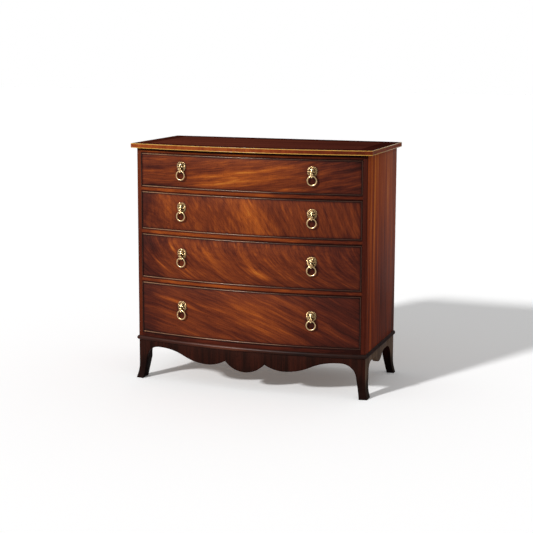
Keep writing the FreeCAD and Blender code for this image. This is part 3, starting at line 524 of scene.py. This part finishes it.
def topMaterial():
    material, shader = newMaterial("mahoganyTop", topVeneer["finish"])
    low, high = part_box("top_board")
    place = addNode(material, "ShaderNodeTexCoord").outputs["Object"]
    axes = addNode(material, "ShaderNodeSeparateXYZ", links={0: place})
    side = addNode(material, "ShaderNodeMath", links={0: axes.outputs["X"]}, operation="ABSOLUTE")
    fromEnd = addNode(material, "ShaderNodeMath", {0: high.x}, {1: side.outputs[0]}, operation="SUBTRACT")
    fromBack = addNode(material, "ShaderNodeMath", {0: high.y}, {1: axes.outputs["Y"]}, operation="SUBTRACT")
    centred = addNode(
        material, "ShaderNodeMapping", {"Location": (0, -bow["axisY"], 0), "Scale": (1, 1, 0)},
        {"Vector": place},
    )
    reach = addNode(material, "ShaderNodeVectorMath", links={0: centred.outputs[0]}, operation="LENGTH")
    front = bow["axisY"] - low.y
    fromFront = addNode(
        material, "ShaderNodeMath", {0: front}, {1: reach.outputs["Value"]}, operation="SUBTRACT",
    )
    fromLong = addNode(
        material, "ShaderNodeMath", links={0: fromFront.outputs[0], 1: fromBack.outputs[0]},
        operation="MINIMUM",
    )
    nearest = addNode(
        material, "ShaderNodeMath", links={0: fromLong.outputs[0], 1: fromEnd.outputs[0]},
        operation="MINIMUM",
    )
    border = addNode(
        material, "ShaderNodeMath", {1: topVeneer["border"]}, {0: nearest.outputs[0]}, operation="LESS_THAN",
    )
    longBorder = addNode(
        material, "ShaderNodeMath", links={0: fromLong.outputs[0], 1: fromEnd.outputs[0]},
        operation="LESS_THAN",
    )
    crossed = addNode(
        material, "ShaderNodeMath", links={0: border.outputs[0], 1: longBorder.outputs[0]},
        operation="MULTIPLY",
    )
    # the border's grain runs square to its edge, the field's along the top
    space = addNode(
        material, "ShaderNodeMix",
        links={0: crossed.outputs[0], 4: grainSpace(material, "x"), 5: grainSpace(material, "y")},
        data_type="VECTOR",
    )
    tone = addFades(material, place, topVeneer["fades"])
    colour = woodColour(material, shader, space.outputs[1], topVeneer["wood"], tone)
    shaded = addNode(
        material, "ShaderNodeMix", {7: hexColour(topVeneer["borderShade"])},
        {0: border.outputs[0], 6: colour}, data_type="RGBA", blend_type="MULTIPLY",
    )
    material.node_tree.links.new(shaded.outputs[2], shader.inputs["Base Color"])
    return material


finishes["top"] = topMaterial()
print("top veneer made")

# Brass
# Cast and lacquered brass: pale gold on the high places, brown patina left in the hollows.
brass = {
    "finish": {"Metallic": 1.0, "Roughness": 0.27},
    "hollows": 6.0 * mm, "samples": 8, "bump": {"Strength": 0.1, "Distance": 0.1 * mm},
    "grit": {"Scale": 1 / (1.2 * mm), "Detail": 3.0}, "gritShare": 0.16,
    "ramp": ((0.36, "#120b05"), (0.60, "#4c371b"), (0.82, "#b08e5f"), (1.0, "#e4c493")),
}


def brassMaterial():
    material, shader = newMaterial("castBrass", brass["finish"])
    place = addNode(material, "ShaderNodeTexCoord").outputs["Object"]
    hollow = addNode(
        material, "ShaderNodeAmbientOcclusion", {"Distance": brass["hollows"]},
        samples=brass["samples"], only_local=True,
    )
    grit = addNode(material, "ShaderNodeTexNoise", brass["grit"], {"Vector": place})
    speckled = addNode(
        material, "ShaderNodeMath", {1: brass["gritShare"]},
        {0: grit.outputs["Fac"], 2: hollow.outputs["AO"]}, operation="MULTIPLY_ADD",
    )
    level = addNode(
        material, "ShaderNodeMath", {1: brass["gritShare"] / 2}, {0: speckled.outputs[0]},
        operation="SUBTRACT",
    )
    colour = addNode(material, "ShaderNodeValToRGB", links={"Fac": level.outputs[0]}, ramp=brass["ramp"])
    bump = addNode(material, "ShaderNodeBump", brass["bump"], {"Height": grit.outputs["Fac"]})
    links = material.node_tree.links
    links.new(colour.outputs["Color"], shader.inputs["Base Color"])
    links.new(bump.outputs["Normal"], shader.inputs["Normal"])
    return material


finishes["brass"] = brassMaterial()
print("brass made")

# Softened joinery
# Copies of the construction's pieces with their sharp edges eased, as scraped and sanded wood has them.
# Points closer than merge become one, faces within flat degrees are joined and edges past sharp are eased.
# Faces that look more than frontFacing towards the front, or another side, have that side's finish.
easing = {"merge": 0.002 * mm, "flat": 0.4, "sharp": 40, "segments": 2, "frontFacing": 0.6}


def softenedCopy(name, nodeName, finish, slot, ease=0.0, roundAngle=30, front=None, facing=(0, -1, 0)):
    node = cadNodes[nodeName]
    piece = bpy.data.objects.new(name, node.data.copy())
    bpy.context.scene.collection.objects.link(piece)
    piece.data.materials.clear()
    piece.data.materials.append(finishes[finish])
    selectOnly(piece)
    bpy.ops.mesh.customdata_custom_splitnormals_clear()
    editAll(piece)
    bpy.ops.mesh.remove_doubles(threshold=easing["merge"])
    bpy.ops.mesh.dissolve_limited(angle_limit=math.radians(easing["flat"]))
    bpy.ops.object.mode_set(mode="OBJECT")
    if ease:
        bevel = piece.modifiers.new("eased edges", "BEVEL")
        bevel.width = ease
        bevel.segments = easing["segments"]
        bevel.limit_method = "ANGLE"
        bevel.angle_limit = math.radians(easing["sharp"])
        bpy.ops.object.modifier_apply(modifier=bevel.name)
    bpy.ops.object.shade_smooth_by_angle(angle=math.radians(roundAngle))
    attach(piece, node["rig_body"])
    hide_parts(nodeName)
    if front:
        piece.data.materials.append(finishes[front])
        for face in piece.data.polygons:
            face.material_index = int(face.normal.dot(Vector(facing)) > easing["frontFacing"])
    return piece


joinery = {
    "top_board": {"finish": "top", "slot": "mahogany_case", "ease": 0.3 * mm},
    "top_edge_band": {"finish": "mahoganyEdgeSide", "slot": "mahogany_case", "front": "mahoganyEdgeBand"},
    "top_stringing": {"finish": "satinwoodStringing", "slot": "satinwood_stringing", "ease": 0.4 * mm},
    "side_right": {
        "finish": "mahoganySide", "slot": "mahogany_case", "ease": 0.8 * mm, "front": "mahoganyStile",
    },
    "side_left": {
        "finish": "mahoganySide", "slot": "mahogany_case", "ease": 0.8 * mm, "front": "mahoganyStile",
    },
    # the front-facing strip of the moulding's nose takes the painted highlight
    "base_moulding": {
        "finish": "mahoganyBase", "slot": "mahogany_base", "roundAngle": 50, "front": "mouldingPaintedHighlight",
    },
    "apron_front": {"finish": "mahoganyBase", "slot": "mahogany_base", "ease": 0.8 * mm},
    # the side aprons take the painted sheen all over
    "side_aprons": {"finish": "baseSidePaintedSheen", "slot": "mahogany_base", "ease": 0.8 * mm},
}
for railName in railNames:
    joinery[railName] = {"finish": f"mahogany_{railName}", "slot": "mahogany_case", "ease": 0.4 * mm}
for end in ("front", "rear"):
    for hand, outwards in (("left", -1), ("right", 1)):
        # the outward faces of the feet take the painted sheen
        joinery[f"foot_{end}_{hand}"] = {
            "finish": "mahoganyBase", "slot": "mahogany_base", "ease": 0.8 * mm,
            "front": "baseSidePaintedSheen", "facing": (outwards, 0, 0),
        }
for number in drawerNumbers:
    # the beads carry the painted highlight and painted shade
    joinery[f"drawer_{number}_cockbead"] = {
        "finish": "beadPaintedHighlight", "slot": "mahogany_base", "roundAngle": 50,
    }
    joinery[f"drawer_{number}_sides"] = {"finish": "oakAlongY", "slot": "oak_lining", "ease": 0.6 * mm}
    joinery[f"drawer_{number}_back"] = {"finish": "oakAlongX", "slot": "oak_lining", "ease": 0.6 * mm}
for nodeName, cut in joinery.items():
    softenedCopy(f"eased_{nodeName}", nodeName, **cut)
print("softened joinery:", len(joinery))

# Drawer fronts
# The bowed face is veneered, the rest shows the core.
drawerFront = {"finish": "mahoganyCore", "slot": "mahogany_veneer", "ease": 0.3 * mm}
for number in drawerNumbers:
    softenedCopy(
        f"veneered_front_{number}", f"drawer_{number}_front", **drawerFront, front=f"veneer{number}",
    )
print("drawer fronts veneered")

# Linings and nuts
# These keep the construction's own shapes, with their finish changed.
linings = {
    "back_panel": "oakAlongZ", "top_rail_back": "oakAlongX", "drawer_runners": "oakAlongY",
    "dust_boards": "oakAlongX", "back_skirt": "oakAlongX", "glue_blocks": "oakAlongZ",
    "drawer_stops": "oakAlongX",
}
for number in drawerNumbers:
    linings[f"drawer_{number}_bottom"] = "oakAlongX"
    linings[f"drawer_{number}_pull_nuts"] = "brass"
for nodeName, finish in linings.items():
    for slot in cadNodes[nodeName].material_slots:
        slot.material = finishes[finish]
print("linings and nuts dressed:", len(linings))

# Lion masks
# Sizes in millimetres about the mask's centre on the drawer's face: X right, Z up, the face towards -Y.
mask = {
    "voxel": 0.4, "behind": 40.0, "pivotOut": 10.0, "pivotDrop": 17.4, "boreRadius": 3.9, "boreLength": 46.0,
    "plate": (17.4, 4.6, 17.6), "square": 2.9, "studRadius": 2.5, "studLength": 29.0, "studRoot": 1.0,
    # how finely round forms are cut, and how far the casting is worn smooth
    "plateBall": {"segments": 48, "ring_count": 24}, "formBall": {"segments": 20, "ring_count": 12},
    "strandBall": {"segments": 12, "ring_count": 10}, "boreSides": 48, "studSides": 32,
    "wear": {"factor": 0.5, "iterations": 2}, "roundAngle": 60,
    # outer strands of a lock: degrees round the mask and aside, then how far back, sunk and shorter they are
    "strand": {"spread": 5.2, "turn": 4, "setBack": 0.7, "sink": 0.5, "shorter": 0.6},
    # rows of locks round the top and sides, open below, where the ring hangs
    "mane": (
        {
            "locks": 17, "from": -58, "at": 16.2, "rise": 2.6, "half": 4.6, "breadth": 1.45, "depth": 2.1,
            "tilt": 14, "swirl": 10,
        },
        {
            "locks": 14, "from": -50, "at": 13.2, "rise": 4.8, "half": 3.6, "breadth": 1.3, "depth": 2.0,
            "tilt": 20, "swirl": -8,
        },
    ),
    # single forms: centre, half sizes, turn about Y and tilt about X in degrees
    "middle": (
        ((0, -4.2, 1.0), (9.4, 6.2, 11.0), 0, 0),
        ((0, -8.4, 8.4), (6.4, 3.6, 3.8), 0, 20),
        ((0, -9.8, 4.6), (4.0, 3.2, 4.4), 0, -10),
        ((0, -11.4, 0.6), (3.3, 3.6, 7.8), 0, -20),
        ((0, -16.0, -6.2), (3.9, 2.4, 2.0), 0, 0),
        ((0, -13.0, -10.4), (2.2, 4.8, 4.2), 0, 0),
        ((0, -4.4, -16.6), (6.4, 4.6, 6.6), 0, 0),
        ((0, -9.4, -21.0), (5.2, 7.0, 4.4), 0, 0),
        ((0, -14.0, -22.0), (2.6, 3.0, 2.8), 0, 0),
    ),
    "pairs": (
        ((4.7, -10.0, 7.8), (4.4, 2.6, 2.2), 14, 0),
        ((4.9, -8.4, 3.6), (2.0, 1.6, 1.4), -8, 0),
        ((6.3, -8.0, -2.0), (4.4, 2.8, 3.2), 28, 0),
        ((3.2, -12.8, -10.4), (4.2, 5.4, 4.4), 0, 0),
        ((9.8, -6.8, 11.0), (3.0, 2.6, 2.7), 40, 0),
    ),
    # hollows cut beside the eyes, nose and mouth, between face and mane, and into the ears
    "hollows": (
        ((5.3, -12.0, 4.4), (2.7, 2.8, 1.8)),
        ((6.6, -12.4, -5.8), (2.4, 3.6, 1.6)),
        ((10.2, -8.8, -13.2), (3.2, 5.8, 3.4)),
        ((11.6, -9.2, 3.6), (1.9, 4.6, 3.8)),
        ((11.8, -9.0, -5.2), (1.9, 4.6, 4.0)),
        ((10.1, -9.8, 11.2), (1.6, 2.0, 1.5)),
        ((4.2, -9.6, 13.0), (3.0, 3.8, 1.2)),
    ),
    "pits": (
        ((4.9, -10.4, 3.6), 0.7),
        ((1.6, -18.0, -7.0), 0.8),
    ),
}


def addForm(centre, half, turn, tilt):
    # a ball squeezed to its half sizes, in the mesh that is being edited
    turned = Matrix.Rotation(math.radians(turn), 3, "Y") @ Matrix.Rotation(math.radians(tilt), 3, "X")
    bpy.ops.mesh.primitive_uv_sphere_add(
        **mask["formBall"], radius=mm, location=Vector(centre) * mm, rotation=turned.to_euler(), scale=half,
    )


def addLock(row, angle):
    # three strands side by side, the middle one longer and higher, on a path that is nearly square
    strand = mask["strand"]
    for side in (-1, 0, 1):
        outer = abs(side)
        spread = angle + math.radians(side * strand["spread"])
        corner = abs(math.cos(spread)) ** mask["square"] + abs(math.sin(spread)) ** mask["square"]
        reach = row["at"] * corner ** (-1 / mask["square"]) - outer * strand["setBack"]
        out = -row["rise"] + outer * strand["sink"]
        centre = Vector((math.cos(spread) * reach, out, math.sin(spread) * reach))
        turn = (
            Matrix.Rotation(-spread, 3, "Y") @ Matrix.Rotation(math.radians(row["tilt"]), 3, "Z")
            @ Matrix.Rotation(math.radians(row["swirl"] + side * strand["turn"]), 3, "Y")
        )
        bpy.ops.mesh.primitive_uv_sphere_add(
            **mask["strandBall"], radius=mm, location=centre * mm, rotation=turn.to_euler(),
            scale=(row["half"] - outer * strand["shorter"], row["depth"], row["breadth"]),
        )


def melt(piece):
    # the forms become one skin
    piece.data.remesh_voxel_size = mask["voxel"] * mm
    bpy.ops.object.voxel_remesh()


def cutAway(piece, tool):
    selectOnly(piece)
    cut = piece.modifiers.new("cut", "BOOLEAN")
    cut.operation = "DIFFERENCE"
    cut.solver = "MANIFOLD"
    cut.object = tool
    bpy.ops.object.modifier_apply(modifier=cut.name)
    bpy.data.objects.remove(tool)


def buildMask():
    bpy.ops.object.select_all(action="DESELECT")
    bpy.ops.mesh.primitive_uv_sphere_add(**mask["plateBall"], radius=mm, scale=mask["plate"])
    lion = bpy.context.object
    lion.name = "lion_mask"
    bpy.ops.object.transform_apply(location=True, rotation=True, scale=True)
    # the plate is flat at the back
    bpy.ops.object.mode_set(mode="EDIT")
    bpy.ops.mesh.select_all(action="SELECT")
    bpy.ops.mesh.bisect(plane_co=(0, 0, 0), plane_no=(0, 1, 0), use_fill=True, clear_outer=True)
    for row in mask["mane"]:
        span = 180 - 2 * row["from"]
        for lock in range(row["locks"]):
            addLock(row, math.radians(row["from"] + span * lock / (row["locks"] - 1)))
    for centre, half, turn, tilt in mask["middle"]:
        addForm(centre, half, turn, tilt)
    for (x, y, z), half, turn, tilt in mask["pairs"]:
        for hand in (-1, 1):
            addForm((hand * x, y, z), half, hand * turn, tilt)
    bpy.ops.object.mode_set(mode="OBJECT")
    melt(lion)
    # hollows between the features, melted in as well
    bpy.ops.object.select_all(action="DESELECT")
    bpy.ops.object.add(type="MESH", enter_editmode=True)
    gouge = bpy.context.object
    for (x, y, z), half in mask["hollows"]:
        for hand in (-1, 1):
            addForm((hand * x, y, z), half, 0, 0)
    bpy.ops.object.mode_set(mode="OBJECT")
    melt(gouge)
    cutAway(lion, gouge)
    melt(lion)
    smooth = lion.modifiers.new("worn", "SMOOTH")
    smooth.factor = mask["wear"]["factor"]
    smooth.iterations = mask["wear"]["iterations"]
    bpy.ops.object.modifier_apply(modifier=smooth.name)
    # the back is sawn flat
    bpy.ops.object.select_all(action="DESELECT")
    behind = mask["behind"] * mm
    bpy.ops.mesh.primitive_cube_add(size=2 * behind, location=(0, behind, 0))
    cutAway(lion, bpy.context.object)
    # the mouth that the ring passes through, the pupils and the nostrils are drilled
    bpy.ops.object.select_all(action="DESELECT")
    bpy.ops.mesh.primitive_cylinder_add(
        vertices=mask["boreSides"], radius=mask["boreRadius"] * mm, depth=mask["boreLength"] * mm,
        location=(0, -mask["pivotOut"] * mm, -mask["pivotDrop"] * mm), rotation=(0, math.radians(90), 0),
    )
    drill = bpy.context.object
    bpy.ops.object.transform_apply(location=True, rotation=True, scale=True)
    bpy.ops.object.mode_set(mode="EDIT")
    for (x, y, z), radius in mask["pits"]:
        for hand in (-1, 1):
            addForm((hand * x, y, z), (radius, radius, radius), 0, 0)
    bpy.ops.object.mode_set(mode="OBJECT")
    cutAway(lion, drill)
    # the stud behind it
    selectOnly(lion)
    bpy.ops.object.mode_set(mode="EDIT")
    bpy.ops.mesh.primitive_cylinder_add(
        vertices=mask["studSides"], radius=mask["studRadius"] * mm,
        depth=(mask["studLength"] + mask["studRoot"]) * mm,
        location=(0, (mask["studLength"] - mask["studRoot"]) / 2 * mm, 0), rotation=(math.radians(90), 0, 0),
    )
    bpy.ops.object.mode_set(mode="OBJECT")
    bpy.ops.object.shade_smooth_by_angle(angle=math.radians(mask["roundAngle"]))
    # the cuts leave an empty slot behind
    lion.data.materials.clear()
    lion.data.materials.append(finishes["brass"])
    return lion


# Rings: their wire is oval, broader across the ring than it is deep. Sizes in millimetres.
ring = {
    "radius": 17.6, "depth": 2.1, "breadth": 2.6, "cut": {"major_segments": 96, "minor_segments": 24},
}


def buildRing():
    # a round ring, spread in its own plane until its wire is oval, hanging from the origin
    spread = ring["breadth"] / ring["depth"]
    bpy.ops.object.select_all(action="DESELECT")
    bpy.ops.mesh.primitive_torus_add(
        **ring["cut"], major_radius=ring["radius"] / spread * mm, minor_radius=ring["depth"] * mm,
        rotation=(math.radians(90), 0, 0),
    )
    loop = bpy.context.object
    bpy.ops.object.transform_apply(location=True, rotation=True, scale=True)
    editAll(loop)
    bpy.ops.transform.resize(value=(spread, 1, spread))
    bpy.ops.transform.translate(value=(0, 0, -ring["radius"] * mm))
    bpy.ops.object.mode_set(mode="OBJECT")
    bpy.ops.object.shade_smooth_by_angle(angle=math.radians(mask["roundAngle"]))
    loop.data.materials.append(finishes["brass"])
    return loop


lionMask = buildMask()
pullRing = buildRing()
print("lion mask faces:", len(lionMask.data.polygons))
for number in drawerNumbers:
    pair = []
    for hand in ("left", "right"):
        swing = cadJoints[f"drawer_{number}_ring_{hand}_swing"]
        axis, pivot = Vector(swing["axis"]), Vector(swing["pos_m"])
        turn = Matrix.Rotation(math.atan2(-axis.y, -axis.x), 4, "Z")
        toPivot = turn @ Vector((0, -mask["pivotOut"] * mm, -mask["pivotDrop"] * mm))
        copy = bpy.data.objects.new(f"lion_mask_{number}_{hand}", lionMask.data.copy())
        bpy.context.scene.collection.objects.link(copy)
        copy.data.transform(Matrix.Translation(pivot - toPivot) @ turn)
        pair.append(copy)
        loop = bpy.data.objects.new(f"pull_ring_{number}_{hand}", pullRing.data.copy())
        bpy.context.scene.collection.objects.link(loop)
        loop.data.transform(Matrix.Translation(pivot) @ turn)
        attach(loop, f"drawer_{number}_ring_{hand}")
        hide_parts(f"drawer_{number}_ring_{hand}")
    selectOnly(pair[0])
    pair[1].select_set(True)
    bpy.ops.object.join()
    masks = bpy.context.object
    masks.name = f"lion_masks_{number}"
    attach(masks, f"drawer_{number}")
    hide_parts(f"drawer_{number}_masks")
bpy.data.objects.remove(lionMask)
bpy.data.objects.remove(pullRing)
print("lion masks and rings hung")

# Stage
# White floor, one soft sun from the front left, even light all round.
stage = {
    "floorSize": 60.0, "floorColour": "#ffffff", "floorBounce": "#cccccc", "floorLift": 0.10,
    "floorFinish": {"Roughness": 0.9, "Specular IOR Level": 0.0}, "surround": "#ffffff",
    # polished surfaces mirror a surround that dims to dimSide between two places from left (-1) to right (1)
    "roundLight": 0.44, "dimSide": 0.2, "dimBegins": -0.3, "dimEnds": 0.6,
    "sun": {"across": 26.0, "height": 29.0, "strength": 3.05, "softness": 5.0},
}


def buildStage():
    bpy.ops.object.select_all(action="DESELECT")
    bpy.ops.mesh.primitive_plane_add(size=stage["floorSize"])
    floor = bpy.context.object
    floor.name = "floor"
    material, shader = newMaterial("whiteFloor", stage["floorFinish"])
    shader.inputs["Emission Color"].default_value = hexColour(stage["floorColour"])
    ray = addNode(material, "ShaderNodeLightPath")
    tint = addNode(
        material, "ShaderNodeMix", {6: hexColour(stage["floorBounce"]), 7: hexColour(stage["floorColour"])},
        {0: ray.outputs["Is Camera Ray"]}, data_type="RGBA",
    )
    lift = addNode(
        material, "ShaderNodeMath", {1: stage["floorLift"]}, {0: ray.outputs["Is Camera Ray"]},
        operation="MULTIPLY",
    )
    material.node_tree.links.new(tint.outputs[2], shader.inputs["Base Color"])
    material.node_tree.links.new(lift.outputs[0], shader.inputs["Emission Strength"])
    floor.data.materials.append(material)
    # the surround is white to the eye, dimmer at the right in polished surfaces, and lights the chest gently
    world = bpy.data.worlds.new("studio")
    world.use_nodes = True
    bpy.context.scene.world = world
    ray = addNode(world, "ShaderNodeLightPath")
    way = addNode(world, "ShaderNodeTexCoord")
    axes = addNode(world, "ShaderNodeSeparateXYZ", links={0: way.outputs["Generated"]})
    mirrored = addNode(
        world, "ShaderNodeMapRange",
        {
            "From Min": stage["dimEnds"], "From Max": stage["dimBegins"],
            "To Min": stage["dimSide"], "To Max": 1.0,
        },
        {"Value": axes.outputs["X"]}, interpolation_type="SMOOTHSTEP",
    )
    shiny = addNode(
        world, "ShaderNodeMath", operation="MAXIMUM",
        links={0: ray.outputs["Is Glossy Ray"], 1: ray.outputs["Is Transmission Ray"]},
    )
    lighting = addNode(
        world, "ShaderNodeMapRange", {"To Min": stage["roundLight"]},
        {"Value": shiny.outputs[0], "To Max": mirrored.outputs[0]},
    )
    strength = addNode(
        world, "ShaderNodeMapRange", {"To Max": 1.0},
        {"Value": ray.outputs["Is Camera Ray"], "To Min": lighting.outputs[0]},
    )
    background = world.node_tree.nodes["Background"]
    background.inputs["Color"].default_value = hexColour(stage["surround"])
    world.node_tree.links.new(strength.outputs[0], background.inputs["Strength"])
    sun = stage["sun"]
    lamp = bpy.data.objects.new("sun", bpy.data.lights.new("sun", "SUN"))
    bpy.context.scene.collection.objects.link(lamp)
    lamp.data.energy = sun["strength"]
    lamp.data.angle = math.radians(sun["softness"])
    across, height = math.radians(sun["across"]), math.radians(sun["height"])
    ahead = math.cos(height)
    shine = Vector((math.sin(across) * ahead, math.cos(across) * ahead, -math.sin(height)))
    lamp.rotation_euler = shine.to_track_quat("-Z", "Y").to_euler()


buildStage()

# The photograph's viewing angle: metres, degrees, and millimetres for the lens.
camera = {
    "place": (1.675787, -4.666575, 1.345329), "turn": 19.687, "down": 8.298, "roll": 0.172,
    "lens": 84.08, "sensor": 36.0, "shiftUp": -0.0761,
}
eye = bpy.data.objects.new("camera", bpy.data.cameras.new("camera"))
bpy.context.scene.collection.objects.link(eye)
eye.data.lens = camera["lens"]
eye.data.sensor_width = camera["sensor"]
eye.data.shift_y = camera["shiftUp"]
aim = (
    Matrix.Rotation(math.radians(camera["turn"]), 4, "Z")
    @ Matrix.Rotation(math.radians(90 - camera["down"]), 4, "X")
    @ Matrix.Rotation(math.radians(camera["roll"]), 4, "Z")
)
eye.matrix_world = Matrix.Translation(camera["place"]) @ aim
bpy.context.scene.camera = eye
bpy.context.scene.view_settings.view_transform = "Standard"
print("stage and camera set")
